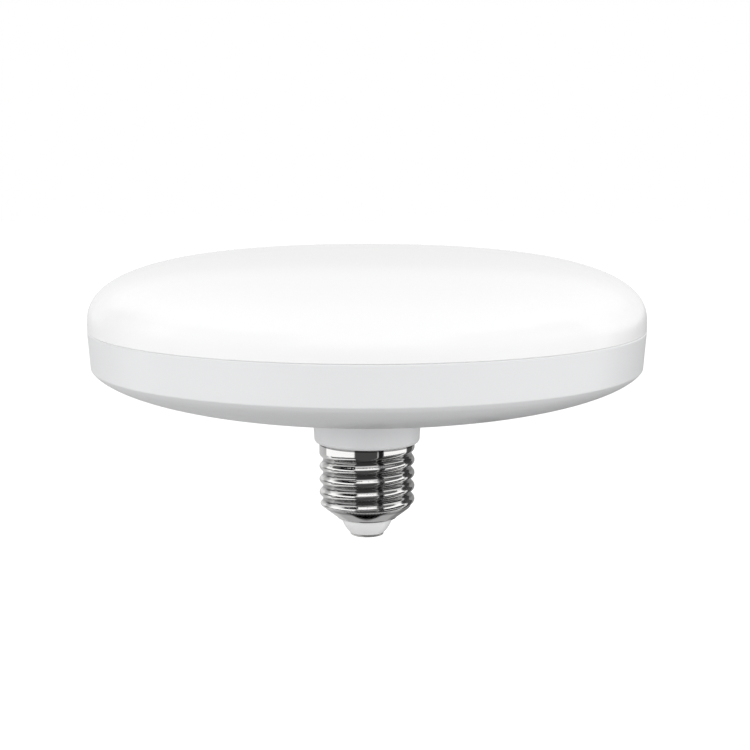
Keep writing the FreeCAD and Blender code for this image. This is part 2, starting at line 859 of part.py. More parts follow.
def film_capacitor():
    z = driver_foot_height + film_height
    near = driver_face + stand_off
    body = block((film_x - film_width / 2, near, z - film_tall / 2),
                 (film_x + film_width / 2, near + film_depth, z + film_tall / 2))
    body = body.makeFillet(film_round, [e for e in body.Edges if e.BoundBox.YLength > 1])
    return body.fuse([pin(film_x + side * film_pin_spacing, z, near + 1) for side in (-0.5, 0.5)])


def fusible_resistor():
    z = driver_foot_height + fuse_height
    y = driver_face + stand_off + fuse_radius
    ends = fuse_pin_spacing / 2
    back = -driver_face - pin_length
    half = fuse_length / 2
    parts = [
        rod(fuse_waist_radius, z - half, z + half, fuse_x, y),
        rod(fuse_radius, z - half, z - half + fuse_cap_length, fuse_x, y),
        rod(fuse_radius, z + half - fuse_cap_length, z + half, fuse_x, y),
    ]
    wire = cable(pin_radius, pin_bend, (fuse_x, back, z - ends), (fuse_x, y, z - ends), (fuse_x, y, z + ends),
                 (fuse_x, back, z + ends))
    return wire.fuse(parts).removeSplitter()


def package(x, z, size, legs):
    # Moulded body on the board's front face with a bent leg above and below at each place
    wide, deep, tall = size
    front = -driver_face
    body = block((x - wide / 2, front - deep, z - tall / 2), (x + wide / 2, front - stand_off, z + tall / 2))
    parts = []
    for place in legs:
        for side in (-1, 1):
            near = z + side * (tall / 2 - 0.3)
            far = z + side * (tall / 2 + leg_reach)
            bend = z + side * (tall / 2 + leg_reach / 2)
            x0 = x + place - leg_width / 2
            x1 = x + place + leg_width / 2
            middle = front - deep / 2
            for y0, y1, z0, z1 in (
                (middle, middle + leg_thickness, near, bend),
                (middle, front, bend - side * leg_thickness, bend),
                (front - leg_thickness, front, bend - side * leg_thickness, far),
            ):
                parts.append(block((x0, y0, min(z0, z1)), (x1, y1, max(z0, z1))))
    return body.fuse(parts).removeSplitter()


def chip_resistors():
    wide, deep, tall = resistor_size
    parts = []
    for x, height in resistor_places:
        z = core_row + height
        parts.append(block((x - wide / 2, -driver_face - deep, z - tall / 2),
                           (x + wide / 2, -driver_face, z + tall / 2)))
    return Part.Compound(parts)


# Wires

def cable(radius, bend, *points):
    # Round wire along straight runs joined by bends of one radius
    corners = [Vector(*p) for p in points]
    edges = []
    start = corners[0]
    for before, corner, after in zip(corners, corners[1:], corners[2:]):
        back = (before - corner).normalize()
        on = (after - corner).normalize()
        half = back.getAngle(on) / 2
        reach = bend / math.tan(half)
        first = corner + back * reach
        last = corner + on * reach
        inward = (back + on).normalize()
        through = corner + inward * (bend / math.sin(half) - bend)
        edges.append(line(start, first))
        edges.append(arc(first, through, last))
        start = last
    edges.append(line(start, corners[-1]))
    profile = Part.Face(Part.Wire(Part.makeCircle(radius, corners[0], corners[1] - corners[0])))
    return Part.Wire(edges).makePipe(profile)


def live_wire():
    z = driver_foot_height + wire_pad_height
    away = -wire_rise_distance
    turn = live_wire_turn_height
    end = insulator_top() + contact_collar_height + cap_clearance
    return cable(wire_radius, wire_bend, (live_wire_x, driver_face, z), (live_wire_x, away, z),
                 (live_wire_x, away, turn), (0, 0, turn), (0, 0, end))


def neutral_angle():
    return math.degrees(math.atan2(-wire_rise_distance, neutral_wire_x))


def neutral_wire():
    z = driver_foot_height + wire_pad_height
    away = -wire_rise_distance
    turn = neutral_wire_turn_height
    out = spigot_radius - neutral_wire_inset + cap_clearance
    angle = math.radians(neutral_angle())
    x = out * math.cos(angle)
    y = out * math.sin(angle)
    return cable(neutral_wire_radius, wire_bend, (neutral_wire_x, driver_face, z), (neutral_wire_x, away, z),
                 (neutral_wire_x, away, turn), (x, y, turn), (x, y, neutral_wire_top))


def light_lead(x):
    z = core_row + lead_pad_height
    away = -wire_rise_distance
    end = -terminal_distance - terminal_entry_depth / 2
    return cable(wire_radius, wire_bend, (x, driver_face, z), (x, away, z), (x, away, lead_level),
                 (x, end, lead_level))


pieces = {
    "screw_shell": screw_shell(),
    "cap_insulator": cap_insulator(),
    "centre_contact": centre_contact(),
    "housing": housing(),
    "diffuser": diffuser(),
    "heat_dish": heat_dish(),
    "led_board": led_board(),
    "led_chips": led_chips(),
    "board_screws": board_screws(),
    "wire_terminal": wire_terminal(),
    "driver_board": driver_board(),
    "bulk_capacitor": capacitor_can(bulk_radius, bulk_length, bulk_x),
    "output_capacitor": capacitor_can(output_radius, output_length, output_x),
    "inductor_core": inductor_core(),
    "inductor_bobbin": inductor_bobbin(),
    "inductor_winding": inductor_winding(),
    "choke_core": choke_core(),
    "choke_winding": choke_winding(),
    "varistor": varistor(),
    "film_capacitor": film_capacitor(),
    "fusible_resistor": fusible_resistor(),
    "driver_chip": package(driver_chip_x, core_row + driver_chip_height, driver_chip_size, driver_chip_legs),
    "bridge_rectifier": package(rectifier_x, driver_foot_height + rectifier_height, rectifier_size,
                                rectifier_legs),
    "output_diode": package(diode_x, core_row + diode_height, diode_size, diode_legs),
    "chip_resistors": chip_resistors(),
    "live_wire": live_wire(),
    "neutral_wire": neutral_wire(),
    "negative_lead": light_lead(lead_places()[0]),
    "positive_lead": light_lead(lead_places()[1]),
}

os.makedirs("parts", exist_ok=True)
for name, shape in pieces.items():
    save(shape, name)
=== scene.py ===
import bpy
import bmesh
import math
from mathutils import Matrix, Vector


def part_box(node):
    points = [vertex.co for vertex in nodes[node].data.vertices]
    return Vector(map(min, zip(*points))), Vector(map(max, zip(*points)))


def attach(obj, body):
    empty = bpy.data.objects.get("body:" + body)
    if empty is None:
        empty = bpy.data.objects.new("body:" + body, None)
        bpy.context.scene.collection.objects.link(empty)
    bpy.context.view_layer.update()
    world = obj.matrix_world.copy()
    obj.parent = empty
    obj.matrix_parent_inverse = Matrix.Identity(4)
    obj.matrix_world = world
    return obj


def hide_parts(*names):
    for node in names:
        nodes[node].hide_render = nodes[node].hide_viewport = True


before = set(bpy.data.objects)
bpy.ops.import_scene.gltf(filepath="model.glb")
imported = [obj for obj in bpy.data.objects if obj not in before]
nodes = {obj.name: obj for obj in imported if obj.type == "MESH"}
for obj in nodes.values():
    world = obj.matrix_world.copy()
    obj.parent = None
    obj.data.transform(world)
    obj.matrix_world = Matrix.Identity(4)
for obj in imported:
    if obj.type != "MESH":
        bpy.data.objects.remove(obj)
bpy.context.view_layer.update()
scene = bpy.context.scene
print("frame loaded:", len(nodes), "nodes")

skirtReach = 0.0039  # the diffuser's skirt reaches this far below the seam
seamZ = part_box("diffuser")[0].z + skirtReach


# Camera

view = {
    "lens": 78.6,
    "sensorWidth": 36,
    "distance": 0.4416,
    "aboveSeam": 0.05299,
    "pitch": 8.59,
    "shiftX": 0.0107,
    "clipStart": 0.01,
    "clipEnd": 50,
}

cameraData = bpy.data.cameras.new("photoCamera")
cameraData.lens = view["lens"]
cameraData.sensor_width = view["sensorWidth"]
cameraData.sensor_fit = "HORIZONTAL"
cameraData.shift_x = view["shiftX"]
cameraData.clip_start = view["clipStart"]
cameraData.clip_end = view["clipEnd"]
camera = bpy.data.objects.new("photoCamera", cameraData)
camera.location = (0, -view["distance"], seamZ + view["aboveSeam"])
camera.rotation_euler = (math.radians(90 - view["pitch"]), 0, 0)
scene.collection.objects.link(camera)
scene.camera = camera
scene.view_settings.view_transform = "Standard"
print("camera set")


# Node helpers

def addNode(tree, kind, x=0, y=0, **settings):
    node = tree.nodes.new(kind)
    node.location = (x, y)
    for key, value in settings.items():
        setattr(node, key, value)
    return node


def feed(tree, value, socket):
    if isinstance(value, (int, float)):
        socket.default_value = value
    else:
        tree.links.new(value, socket)


def mathNode(tree, operation, a, b=None, x=0, y=0, clamp=False):
    node = addNode(tree, "ShaderNodeMath", x, y, operation=operation, use_clamp=clamp)
    feed(tree, a, node.inputs[0])
    if b is not None:
        feed(tree, b, node.inputs[1])
    return node.outputs[0]


def rampNode(tree, value, start, end, low, high):
    ramp = addNode(tree, "ShaderNodeMapRange", interpolation_type="SMOOTHSTEP")
    for label, number in (("From Min", start), ("From Max", end), ("To Min", low), ("To Max", high)):
        ramp.inputs[label].default_value = number
    tree.links.new(value, ramp.inputs["Value"])
    return ramp.outputs["Result"]


mixSockets = {"FLOAT": (0, 2, 3, 0), "RGBA": (0, 6, 7, 2)}  # a Mix node's factor, A, B and result


def mixNode(tree, kind, factor, a, b):
    mixed = addNode(tree, "ShaderNodeMix", -200, 200, data_type=kind)
    *inputs, result = mixSockets[kind]
    for slot, value in zip(inputs, (factor, a, b)):
        feed(tree, value, mixed.inputs[slot])
    return mixed.outputs[result]


def coordinates(tree):
    place = addNode(tree, "ShaderNodeTexCoord", -1500, 300)
    parts = addNode(tree, "ShaderNodeSeparateXYZ", -1300, 300)
    tree.links.new(place.outputs["Object"], parts.inputs[0])
    return parts.outputs["X"], parts.outputs["Y"], parts.outputs["Z"]


def within(tree, value, low, high):
    above = mathNode(tree, "GREATER_THAN", value, low)
    return mathNode(tree, "MULTIPLY", above, mathNode(tree, "LESS_THAN", value, high))


def apartFrom(tree, value, middle):
    return mathNode(tree, "ABSOLUTE", mathNode(tree, "SUBTRACT", value, middle))


def hypotenuse(tree, a, b):
    total = mathNode(tree, "ADD", mathNode(tree, "MULTIPLY", a, a), mathNode(tree, "MULTIPLY", b, b))
    return mathNode(tree, "SQRT", total)


# Skin shared by all finishes: soft patches in colour and gloss, and a fine grain whose size is in millimetres

skinValues = {
    "patchScale": 28,
    "patchDetail": 3,
    "grainDetail": 2,
    "glossVariation": 0.06,
    "bumpDepth": 0.00002,
    "plasticIor": 1.5,
}
usualLook = {"unevenness": 0.02, "grain": 0.4, "bump": 0.1}  # for a look that doesn't give its own


def buildSkin():
    group = bpy.data.node_groups.new("mouldedSkin", "ShaderNodeTree")
    for label, kind, default in (("Colour", "NodeSocketColor", (0.8, 0.8, 0.8, 1)),
                                 ("Unevenness", "NodeSocketFloat", usualLook["unevenness"]),
                                 ("Roughness", "NodeSocketFloat", 0.3),
                                 ("Gloss Variation", "NodeSocketFloat", skinValues["glossVariation"]),
                                 ("Grain Size", "NodeSocketFloat", usualLook["grain"])):
        group.interface.new_socket(label, in_out="INPUT", socket_type=kind).default_value = default
    for label, kind in (("Colour", "NodeSocketColor"), ("Roughness", "NodeSocketFloat"),
                        ("Height", "NodeSocketFloat")):
        group.interface.new_socket(label, in_out="OUTPUT", socket_type=kind)
    given = addNode(group, "NodeGroupInput", -900)
    result = addNode(group, "NodeGroupOutput", 700)
    links = group.links
    place = addNode(group, "ShaderNodeTexCoord", -900, 300)
    patches = addNode(group, "ShaderNodeTexNoise", -600, 300)
    patches.inputs["Scale"].default_value = skinValues["patchScale"]
    patches.inputs["Detail"].default_value = skinValues["patchDetail"]
    links.new(place.outputs["Object"], patches.inputs["Vector"])
    centred = mathNode(group, "SUBTRACT", patches.outputs["Fac"], 0.5, -400, 300)
    shade = mathNode(group, "MULTIPLY", centred, given.outputs["Unevenness"], -200, 300)
    shade = mathNode(group, "ADD", shade, 1.0, 0, 300)
    tinted = addNode(group, "ShaderNodeVectorMath", 200, 300, operation="SCALE")
    links.new(given.outputs["Colour"], tinted.inputs[0])
    links.new(shade, tinted.inputs["Scale"])
    links.new(tinted.outputs[0], result.inputs["Colour"])
    gloss = mathNode(group, "MULTIPLY", centred, given.outputs["Gloss Variation"], -200, 0)
    gloss = mathNode(group, "ADD", gloss, given.outputs["Roughness"], 0, 0, clamp=True)
    links.new(gloss, result.inputs["Roughness"])
    grain = addNode(group, "ShaderNodeTexNoise", -400, -300)
    grain.inputs["Detail"].default_value = skinValues["grainDetail"]
    links.new(place.outputs["Object"], grain.inputs["Vector"])
    links.new(mathNode(group, "DIVIDE", 1000.0, given.outputs["Grain Size"], -600, -300), grain.inputs["Scale"])
    links.new(grain.outputs["Fac"], result.inputs["Height"])
    return group


mouldedSkin = buildSkin()


def placeSkin(tree, look, y=0):
    look = {**usualLook, **look}
    skin = addNode(tree, "ShaderNodeGroup", -700, y, node_tree=mouldedSkin)
    for label, value in (("Colour", (*look["colour"], 1)), ("Roughness", look["roughness"]),
                         ("Unevenness", look["unevenness"]), ("Gloss Variation", skinValues["glossVariation"]),
                         ("Grain Size", look["grain"])):
        skin.inputs[label].default_value = value
    return skin


# Materials

def newMaterial(name, **sockets):
    material = bpy.data.materials.new(name)
    material.use_nodes = True
    shader = material.node_tree.nodes["Principled BSDF"]
    for label, value in sockets.items():
        shader.inputs[label.replace("_", " ")].default_value = value
    return material, material.node_tree, shader


def shadedColour(tree, colour, shadeOf):
    # shadeOf builds the nodes of a shade that the colour is multiplied by
    if shadeOf is None:
        return colour
    shaded = addNode(tree, "ShaderNodeVectorMath", -200, 200, operation="SCALE")
    tree.links.new(colour, shaded.inputs[0])
    tree.links.new(shadeOf(tree), shaded.inputs["Scale"])
    return shaded.outputs[0]


def addBump(tree, shader, height, strength, distance=skinValues["bumpDepth"]):
    bump = addNode(tree, "ShaderNodeBump", -200, -400)
    bump.inputs["Strength"].default_value = strength
    bump.inputs["Distance"].default_value = distance
    tree.links.new(height, bump.inputs["Height"])
    tree.links.new(bump.outputs["Normal"], shader.inputs["Normal"])


def skinMaterial(name, look, shadeOf=None, roughnessOf=None, **sockets):
    # One finish all over; roughnessOf builds the nodes of an extra roughness
    material, tree, shader = newMaterial(name, **sockets)
    skin = placeSkin(tree, look)
    gloss = skin.outputs["Roughness"]
    if roughnessOf:
        gloss = mathNode(tree, "ADD", gloss, roughnessOf(tree), clamp=True)
    tree.links.new(shadedColour(tree, skin.outputs["Colour"], shadeOf), shader.inputs["Base Color"])
    tree.links.new(gloss, shader.inputs["Roughness"])
    addBump(tree, shader, skin.outputs["Height"], look.get("bump", usualLook["bump"]))
    return material


def mouldedMaterial(name, look, shadeOf=None):
    return skinMaterial(name, look, shadeOf, IOR=skinValues["plasticIor"])


def platedMaterial(name, look, shadeOf=None, roughnessOf=None):
    return skinMaterial(name, look, shadeOf, roughnessOf, Metallic=1.0)


def twoFinishMaterial(name, look, second, maskOf, shadeOf=None):
    # Where the mask is 1 the second finish shows, which is bare metal unless its look says otherwise
    material, tree, shader = newMaterial(name)
    mask = maskOf(tree)
    body = placeSkin(tree, look)
    other = placeSkin(tree, second, -400)
    colour = shadedColour(tree, body.outputs["Colour"], shadeOf)
    tree.links.new(mixNode(tree, "RGBA", mask, colour, other.outputs["Colour"]), shader.inputs["Base Color"])
    tree.links.new(mixNode(tree, "FLOAT", mask, body.outputs["Roughness"], other.outputs["Roughness"]),
                   shader.inputs["Roughness"])
    if second.get("metal", True):
        tree.links.new(mask, shader.inputs["Metallic"])
    addBump(tree, shader, body.outputs["Height"], look.get("bump", usualLook["bump"]))
    return material


def dress(name, material, smoothAngle=35):
    piece = nodes[name]
    piece.data.materials.clear()
    piece.data.materials.append(material)
    piece.data.shade_smooth()
    piece.data.set_sharp_from_angle(angle=math.radians(smoothAngle))


# Diffuser, housing and cap insulator

# Its skirt values paint light on the skirt over the seam
diffuserLook = {"colour": (0.915, 0.915, 0.915), "roughness": 0.22, "grain": 0.25, "bump": 0.05,
                "unevenness": 0.006, "skirtFoot": 0.003, "skirtTop": 0.009, "skirtPaintedLight": 1.065}
# Its rim values paint shade on the rounded rim under the seam
housingLook = {"colour": (0.84, 0.845, 0.853), "roughness": 0.3, "grain": 0.35, "bump": 0.08, "unevenness": 0.012,
               "rimBelow": 0.0006, "rimPaintedShade": 0.95}
insulatorLook = {"colour": (0.94, 0.94, 0.94), "roughness": 0.2, "grain": 0.3, "bump": 0.05}


def diffuserSkirtLight(tree):
    # Painted light: the skirt over the seam is painted whiter than the rest of the dome
    z = coordinates(tree)[2]
    return rampNode(tree, z, seamZ + diffuserLook["skirtFoot"], seamZ + diffuserLook["skirtTop"],
                    diffuserLook["skirtPaintedLight"], 1.0)


def housingRimShade(tree):
    # Painted shade: the rounded rim under the seam, which catches more light, is painted a shade darker
    z = coordinates(tree)[2]
    return rampNode(tree, z, seamZ - housingLook["rimBelow"], seamZ - housingLook["rimBelow"] / 2, 1.0,
                    housingLook["rimPaintedShade"])


dress("diffuser", mouldedMaterial("opalDiffuser", diffuserLook, diffuserSkirtLight))
dress("housing", mouldedMaterial("housingPlastic", housingLook, housingRimShade))
dress("cap_insulator", mouldedMaterial("insulatorPlastic", insulatorLook))
print("mouldings finished")


# Screw shell and centre contact; heights and radii are in metres from the contact's tip and the axis

# The joint and root values paint shade: a painted shadow at the joint under the neck and painted shade in the
# thread's roots
shellLook = {"colour": (0.77, 0.765, 0.76), "roughness": 0.055, "unevenness": 0.05, "grain": 0.6, "bump": 0.05,
             "jointHeight": 0.02545, "jointFade": 0.0001, "jointPaintedShadow": 0.3,
             "rootRadius": 0.0121, "crestRadius": 0.0127, "rootPaintedShade": 0.55,
             "threadFoot": 0.0074, "threadTop": 0.0212, "threadFade": 0.0008, "threadRoughness": 0.06}
contactLook = {"colour": (0.93, 0.925, 0.91), "roughness": 0.5, "bump": 0.05}


def aboveThreadFoot(tree, z):
    return rampNode(tree, z, shellLook["threadFoot"], shellLook["threadFoot"] + shellLook["threadFade"], 0.0, 1.0)


def shellPaintedShade(tree):
    # Painted shadow in a thin line at the joint under the neck, and painted shade in the roots of the thread
    x, y, z = coordinates(tree)
    joint = rampNode(tree, z, shellLook["jointHeight"] - shellLook["jointFade"], shellLook["jointHeight"], 1.0,
                     shellLook["jointPaintedShadow"])
    root = rampNode(tree, hypotenuse(tree, x, y), shellLook["rootRadius"], shellLook["crestRadius"],
                    shellLook["rootPaintedShade"], 1.0)
    cone = mathNode(tree, "SUBTRACT", 1.0, aboveThreadFoot(tree, z))
    return mathNode(tree, "MULTIPLY", joint, mathNode(tree, "MAXIMUM", root, cone))


def threadRoughness(tree):
    # The rolled thread is a little rougher than the band above it and the cone below
    z = coordinates(tree)[2]
    below = rampNode(tree, z, shellLook["threadTop"], shellLook["threadTop"] + shellLook["threadFade"],
                     shellLook["threadRoughness"], 0.0)
    return mathNode(tree, "MULTIPLY", below, aboveThreadFoot(tree, z))


dress("screw_shell", platedMaterial("nickelPlate", shellLook, shellPaintedShade, threadRoughness))
dress("centre_contact", platedMaterial("contactPlate", contactLook))
print("metal finished")


# Pieces on the driver board and the wires

tinLook = {"colour": (0.74, 0.74, 0.73), "roughness": 0.28, "unevenness": 0.1, "bump": 0.05}
steelLook = {"colour": (0.62, 0.63, 0.64), "roughness": 0.3, "unevenness": 0.1, "grain": 0.25, "bump": 0.05}
ferriteLook = {"colour": (0.075, 0.075, 0.08), "roughness": 0.62, "unevenness": 0.25, "grain": 0.12, "bump": 0.35}
bobbinLook = {"colour": (0.03, 0.03, 0.032), "roughness": 0.42, "grain": 0.2}

dress("board_screws", platedMaterial("zincPlatedSteel", steelLook))
dress("neutral_wire", platedMaterial("tinnedWire", tinLook))
dress("inductor_core", mouldedMaterial("inductorFerrite", ferriteLook))
dress("choke_core", mouldedMaterial("chokeFerrite", ferriteLook))
dress("inductor_bobbin", mouldedMaterial("bobbinPlastic", bobbinLook))

driverFace = 0.0008  # the board stands on the axis, and its pieces are on the +Y face, this far out
pinClearance = 0.00008

canLook = {"colour": (0.028, 0.03, 0.036), "roughness": 0.3, "unevenness": 0.1, "grain": 0.5,
           "sleeveRim": 0.0011, "topDepth": 0.0002}
varistorLook = {"colour": (0.03, 0.13, 0.42), "roughness": 0.32, "unevenness": 0.15, "grain": 0.7, "bump": 0.3}
filmLook = {"colour": (0.75, 0.5, 0.06), "roughness": 0.4, "unevenness": 0.06, "grain": 0.3}
fuseLook = {"colour": (0.05, 0.2, 0.12), "roughness": 0.45, "unevenness": 0.15, "grain": 0.4, "bump": 0.25,
            "halfLength": 0.00404}


def pinsBelow(extra=None):
    # The pins run from the body through the driver board
    def mask(tree):
        x, y, z = coordinates(tree)
        pins = mathNode(tree, "LESS_THAN", y, driverFace + pinClearance)
        return mathNode(tree, "MAXIMUM", pins, extra(tree, x, y, z)) if extra else pins
    return mask


def canTop(name):
    # Bare aluminium inside the rim of the sleeve
    low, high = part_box(name)
    middle = (low + high) / 2
    radius = (high.x - low.x) / 2 - canLook["sleeveRim"]

    def mask(tree, x, y, z):
        away = hypotenuse(tree, mathNode(tree, "SUBTRACT", x, middle.x), mathNode(tree, "SUBTRACT", z, middle.z))
        return mathNode(tree, "MULTIPLY", mathNode(tree, "LESS_THAN", away, radius),
                        mathNode(tree, "GREATER_THAN", y, high.y - canLook["topDepth"]))
    return mask


def fuseWire(tree, x, y, z):
    low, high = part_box("fusible_resistor")
    return mathNode(tree, "GREATER_THAN", apartFrom(tree, z, (low.z + high.z) / 2), fuseLook["halfLength"])


for can in ("bulk_capacitor", "output_capacitor"):
    dress(can, twoFinishMaterial(can.replace("_c", "C") + "Sleeve", canLook, tinLook, pinsBelow(canTop(can))))
dress("varistor", twoFinishMaterial("varistorEpoxy", varistorLook, tinLook, pinsBelow()), 50)
dress("film_capacitor", twoFinishMaterial("filmCapacitorCase", filmLook, tinLook, pinsBelow()))
dress("fusible_resistor", twoFinishMaterial("fusibleResistorPaint", fuseLook, tinLook, pinsBelow(fuseWire)))

packageLook = {"colour": (0.035, 0.035, 0.037), "roughness": 0.5, "unevenness": 0.1, "grain": 0.1, "bump": 0.25,
               "legReach": 0.00088}


def legsOf(name):
    # Bent legs stand out above and below the moulded body
    low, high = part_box(name)
    half = (high.z - low.z) / 2 - packageLook["legReach"]

    def mask(tree):
        return mathNode(tree, "GREATER_THAN", apartFrom(tree, coordinates(tree)[2], (low.z + high.z) / 2), half)
    return mask


for package in ("driver_chip", "bridge_rectifier", "output_diode"):
    dress(package, twoFinishMaterial(package.split("_")[1] + "Package", packageLook, tinLook, legsOf(package)))

# Chip resistors lie along X: a lower and an upper one in the middle, and one at each side
chipResistorLook = {"colour": (0.03, 0.03, 0.032), "roughness": 0.25, "unevenness": 0.08, "grain": 0.1,
                    "glazeHalfLength": 0.00115, "lowerBelow": 0.033, "lowerMiddle": 0.0, "upperMiddle": 0.0026,
                    "sideMiddles": (-0.0095, 0.012)}


def resistorEnds(tree):
    x, y, z = coordinates(tree)
    lower = mathNode(tree, "LESS_THAN", z, chipResistorLook["lowerBelow"])
    nearest = apartFrom(tree, x, mixNode(tree, "FLOAT", lower, chipResistorLook["upperMiddle"],
                                         chipResistorLook["lowerMiddle"]))
    for middle in chipResistorLook["sideMiddles"]:
        nearest = mathNode(tree, "MINIMUM", nearest, apartFrom(tree, x, middle))
    return mathNode(tree, "GREATER_THAN", nearest, chipResistorLook["glazeHalfLength"])


dress("chip_resistors", twoFinishMaterial("chipResistorGlaze", chipResistorLook, tinLook, resistorEnds))

redSleeveLook = {"colour": (0.52, 0.03, 0.025), "roughness": 0.38, "unevenness": 0.08, "grain": 0.3}
blackSleeveLook = {"colour": (0.025, 0.025, 0.027), "roughness": 0.38, "unevenness": 0.1, "grain": 0.3}
sleeveEnds = {"atBoardY": -0.0013, "liveStartX": -0.0015, "liveFootZ": 0.0087, "leadTipY": -0.0079}


def bareLiveEnds(tree):
    x, y, z = coordinates(tree)
    start = mathNode(tree, "MULTIPLY", mathNode(tree, "GREATER_THAN", y, sleeveEnds["atBoardY"]),
                     mathNode(tree, "LESS_THAN", x, sleeveEnds["liveStartX"]))
    return mathNode(tree, "MAXIMUM", start, mathNode(tree, "LESS_THAN", z, sleeveEnds["liveFootZ"]))


def bareLeadEnds(tree):
    y = coordinates(tree)[1]
    return mathNode(tree, "MAXIMUM", mathNode(tree, "GREATER_THAN", y, sleeveEnds["atBoardY"]),
                    mathNode(tree, "LESS_THAN", y, sleeveEnds["leadTipY"]))


dress("live_wire", twoFinishMaterial("liveWireSleeve", redSleeveLook, tinLook, bareLiveEnds))
dress("positive_lead", twoFinishMaterial("positiveLeadSleeve", redSleeveLook, tinLook, bareLeadEnds))
dress("negative_lead", twoFinishMaterial("negativeLeadSleeve", blackSleeveLook, tinLook, bareLeadEnds))

terminalLook = {"colour": (0.78, 0.78, 0.76), "roughness": 0.36, "grain": 0.25,
                "contactDrop": 0.0005, "contactRadius": 0.00072}


def terminalContacts(tree):
    # Bare metal round the place where each lead goes in
    x, y, z = coordinates(tree)
    rise = mathNode(tree, "SUBTRACT", z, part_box("positive_lead")[1].z - terminalLook["contactDrop"])
    holes = []
    for lead in ("negative_lead", "positive_lead"):
        low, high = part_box(lead)
        away = hypotenuse(tree, mathNode(tree, "SUBTRACT", x, (low.x + high.x) / 2), rise)
        holes.append(mathNode(tree, "LESS_THAN", away, terminalLook["contactRadius"]))
    return mathNode(tree, "MAXIMUM", *holes)


dress("wire_terminal", twoFinishMaterial("terminalPlastic", terminalLook, tinLook, terminalContacts))
print("driver pieces finished")


# Heat dish: spun aluminium with fine turning marks round its axis

dishLook = {"colour": (0.74, 0.75, 0.76), "roughness": 0.32, "markSpacing": 0.00035, "markDetail": 4,
            "markDepth": 0.000012, "markBump": 0.4, "markGloss": 0.25}


def turnedMetalMaterial(name, look):
    material, tree, shader = newMaterial(name, Metallic=1.0)
    skin = placeSkin(tree, look)
    x, y, z = coordinates(tree)
    marks = addNode(tree, "ShaderNodeTexNoise", -700, -500, noise_dimensions="1D")
    marks.inputs["Scale"].default_value = 1.0
    marks.inputs["Detail"].default_value = look["markDetail"]
    tree.links.new(mathNode(tree, "DIVIDE", hypotenuse(tree, x, y), look["markSpacing"]), marks.inputs["W"])
    tree.links.new(skin.outputs["Colour"], shader.inputs["Base Color"])
    centred = mathNode(tree, "SUBTRACT", marks.outputs["Fac"], 0.5)
    streak = mathNode(tree, "MULTIPLY", centred, look["markGloss"])
    tree.links.new(mathNode(tree, "ADD", skin.outputs["Roughness"], streak, clamp=True),
                   shader.inputs["Roughness"])
    addBump(tree, shader, marks.outputs["Fac"], look["markBump"], look["markDepth"])
    return material


dress("heat_dish", turnedMetalMaterial("spunAluminium", dishLook))


# LED board: white solder mask over copper rings, on an aluminium plate whose edge and back are bare

ledBoardLook = {"colour": (0.86, 0.86, 0.84), "roughness": 0.34, "grain": 0.3, "ringRadii": (0.02, 0.0375, 0.055),
                "copperHalfWidth": 0.0031, "gapHalfWidth": 0.0003, "copperShade": 0.93, "edgeInset": 0.00003,
                "maskDepth": 0.00012}
plateLook = {"colour": (0.78, 0.79, 0.8), "roughness": 0.35, "unevenness": 0.05, "grain": 0.3}


def copperShade(tree):
    # Copper shows through the mask as two slightly darker bands in each ring, parted under the chips
    x, y, z = coordinates(tree)
    radius = hypotenuse(tree, x, y)
    nearest = None
    for ring in ledBoardLook["ringRadii"]:
        away = apartFrom(tree, radius, ring)
        nearest = away if nearest is None else mathNode(tree, "MINIMUM", nearest, away)
    copper = within(tree, nearest, ledBoardLook["gapHalfWidth"], ledBoardLook["copperHalfWidth"])
    return mixNode(tree, "FLOAT", copper, 1.0, ledBoardLook["copperShade"])


def barePlate(tree):
    low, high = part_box("led_board")
    x, y, z = coordinates(tree)
    edge = mathNode(tree, "GREATER_THAN", hypotenuse(tree, x, y), high.x - ledBoardLook["edgeInset"])
    back = mathNode(tree, "LESS_THAN", z, high.z - ledBoardLook["maskDepth"])
    return mathNode(tree, "MAXIMUM", edge, back)


dress("led_board", twoFinishMaterial("ledBoardMask", ledBoardLook, plateLook, barePlate, copperShade))


# LED chips: white bodies with a yellow filling, which is the floor of each chip's well

chipBodyLook = {"colour": (0.84, 0.84, 0.82), "roughness": 0.4, "grain": 0.1}
phosphorLook = {"colour": (0.86, 0.62, 0.08), "roughness": 0.28, "unevenness": 0.12, "grain": 0.08,
                "metal": False, "wellDepth": 0.00015, "floorBand": 0.00003}


def chipWell(tree):
    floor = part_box("led_chips")[1].z - phosphorLook["wellDepth"]
    z = coordinates(tree)[2]
    return within(tree, z, floor - phosphorLook["floorBand"], floor + phosphorLook["floorBand"])


dress("led_chips", twoFinishMaterial("ledChipBody", chipBodyLook, phosphorLook, chipWell))


# Driver board: green mask on both faces, and bare glass fibre at its edges

driverBoardLook = {"colour": (0.03, 0.19, 0.075), "roughness": 0.3, "unevenness": 0.12, "grain": 0.5, "bump": 0.2,
                   "maskDepth": 0.00001}
glassEdgeLook = {"colour": (0.55, 0.5, 0.3), "roughness": 0.7, "unevenness": 0.2, "metal": False}


def boardEdge(tree):
    y = coordinates(tree)[1]
    return mathNode(tree, "LESS_THAN", mathNode(tree, "ABSOLUTE", y), driverFace - driverBoardLook["maskDepth"])


dress("driver_board", twoFinishMaterial("driverBoardMask", driverBoardLook, glassEdgeLook, boardEdge))
print("boards finished")


# Mesh helpers

def meshObject(name, shape, material):
    mesh = bpy.data.meshes.new(name)
    shape.to_mesh(mesh)
    shape.free()
    mesh.materials.append(material)
    made = bpy.data.objects.new(name, mesh)
    scene.collection.objects.link(made)
    return made


def newPiece(name, shape, material, smoothAngle=40):
    bmesh.ops.recalc_face_normals(shape, faces=shape.faces)
    piece = meshObject(name, shape, material)
    piece.data.shade_smooth()
    piece.data.set_sharp_from_angle(angle=math.radians(smoothAngle))
    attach(piece, "root")
    return piece


